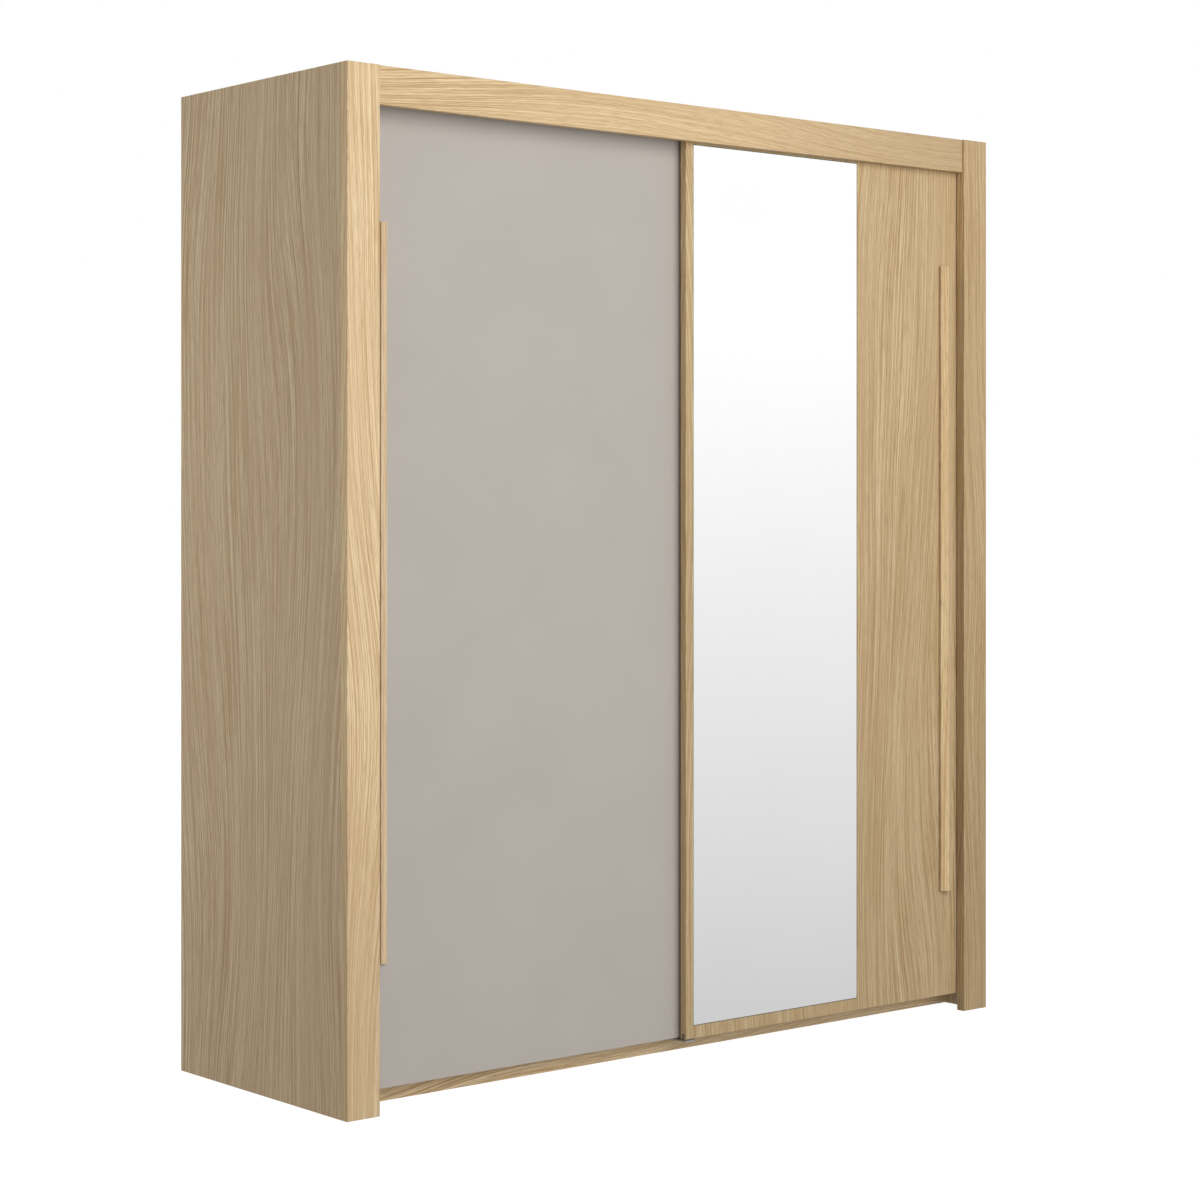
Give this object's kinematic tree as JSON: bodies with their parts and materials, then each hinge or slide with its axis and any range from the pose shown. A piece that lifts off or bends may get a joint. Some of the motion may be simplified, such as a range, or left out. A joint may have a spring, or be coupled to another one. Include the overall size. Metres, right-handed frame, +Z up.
{
  "type": "sliding door wardrobe",
  "caption": "Free-standing wardrobe with top-hung sliding doors, one with an inset mirror, long bar handles, a clothes rail bay and a shelved bay.",
  "frame": {"origin": "middle of the footprint at floor level", "axes": "+X towards the mirror door's side, +Y from the doors to the back, +Z up"},
  "size_m": [2, 0.672, 2.24],
  "materials": {
    "oak_veneer": "light oak veneer board, satin, fine straight grain",
    "interior_board": "light oak print melamine board, satin",
    "back_board": "thin hardboard with a pale printed face",
    "beech": "plain beech dowel",
    "taupe_lacquer": "board with a matt taupe lacquer",
    "mirror_glass": "silvered float glass",
    "aluminium_track": "extruded, natural anodised",
    "zinc_steel": "zinc plated",
    "chrome_tube": "polished chrome",
    "nylon": "dark beige nylon",
    "wheel_nylon": "natural white nylon",
    "white_strip": "pale plastic strip",
    "rubber_stop": "black rubber",
    "foam_tape": "adhesive foam strip"
  },
  "bodies": {
    "carcass": {"adjustable_shelf_1": "interior_board", "adjustable_shelf_2": "interior_board", "adjustable_shelf_3": "interior_board", "adjustable_shelf_4": "interior_board", "back_panel_left": "back_board", "back_panel_nails": "zinc_steel", "back_panel_right": "back_board", "back_seam_strip": "white_strip", "bottom_panel": "interior_board", "cam_bolts": "zinc_steel", "cam_locks": "zinc_steel", "door_track": "aluminium_track", "fascia": "oak_veneer", "guide_block": "nylon", "guide_bracket": "zinc_steel", "guide_screws": "zinc_steel", "hanging_rail": "chrome_tube", "hat_shelf_left": "interior_board", "hat_shelf_right": "interior_board", "partition": "interior_board", "plinth_back": "interior_board", "plinth_braces": "interior_board", "plinth_front": "oak_veneer", "post_left": "oak_veneer", "post_right": "oak_veneer", "rail_socket_screws": "zinc_steel", "rail_sockets": "chrome_tube", "shelf_pins": "zinc_steel", "side_panel_left": "oak_veneer", "side_panel_right": "oak_veneer", "top_panel": "interior_board", "track_screws": "zinc_steel", "track_stops": "rubber_stop", "wall_bracket_screws": "zinc_steel", "wall_brackets": "zinc_steel", "wood_dowels": "beech"},
    "rear_door": {"rear_door_handle": "oak_veneer", "rear_door_hangers": "zinc_steel", "rear_door_panel": "taupe_lacquer", "rear_guide_channel": "nylon", "rear_handle_screws": "zinc_steel", "rear_hanger_axles": "zinc_steel", "rear_hanger_screws": "zinc_steel"},
    "front_door": {"front_door_handle": "oak_veneer", "front_door_hangers": "zinc_steel", "front_door_panel": "oak_veneer", "front_guide_channel": "nylon", "front_handle_screws": "zinc_steel", "front_hanger_axles": "zinc_steel", "front_hanger_screws": "zinc_steel", "mirror": "mirror_glass", "mirror_pads": "foam_tape"},
    "rear_left_wheels": {"rear_door_left_wheels": "wheel_nylon"},
    "rear_right_wheels": {"rear_door_right_wheels": "wheel_nylon"},
    "front_left_wheels": {"front_door_left_wheels": "wheel_nylon"},
    "front_right_wheels": {"front_door_right_wheels": "wheel_nylon"}
  },
  "joints": [
    {"name": "rear_door_slide", "type": "slide", "parent": "carcass", "child": "rear_door", "axis": [1, 0, 0], "range_m": [0, 0.83]},
    {"name": "front_door_slide", "type": "slide", "parent": "carcass", "child": "front_door", "axis": [-1, 0, 0], "range_m": [0, 0.83]},
    {"name": "rear_left_wheel_roll", "type": "hinge", "parent": "rear_door", "child": "rear_left_wheels", "pos_m": [-0.87, -0.2685, 2.2042], "axis": [0, 1, 0], "continuous": true},
    {"name": "rear_right_wheel_roll", "type": "hinge", "parent": "rear_door", "child": "rear_right_wheels", "pos_m": [-0.0725, -0.2685, 2.2042], "axis": [0, 1, 0], "continuous": true},
    {"name": "front_left_wheel_roll", "type": "hinge", "parent": "front_door", "child": "front_left_wheels", "pos_m": [0.0725, -0.2985, 2.2042], "axis": [0, 1, 0], "continuous": true},
    {"name": "front_right_wheel_roll", "type": "hinge", "parent": "front_door", "child": "front_right_wheels", "pos_m": [0.87, -0.2985, 2.2042], "axis": [0, 1, 0], "continuous": true}
  ],
  "couplings": [
    {"joint": "rear_left_wheel_roll", "follows": "rear_door_slide", "rad_per_m": 100},
    {"joint": "rear_right_wheel_roll", "follows": "rear_door_slide", "rad_per_m": 100},
    {"joint": "front_left_wheel_roll", "follows": "front_door_slide", "rad_per_m": -100},
    {"joint": "front_right_wheel_roll", "follows": "front_door_slide", "rad_per_m": -100}
  ]
}
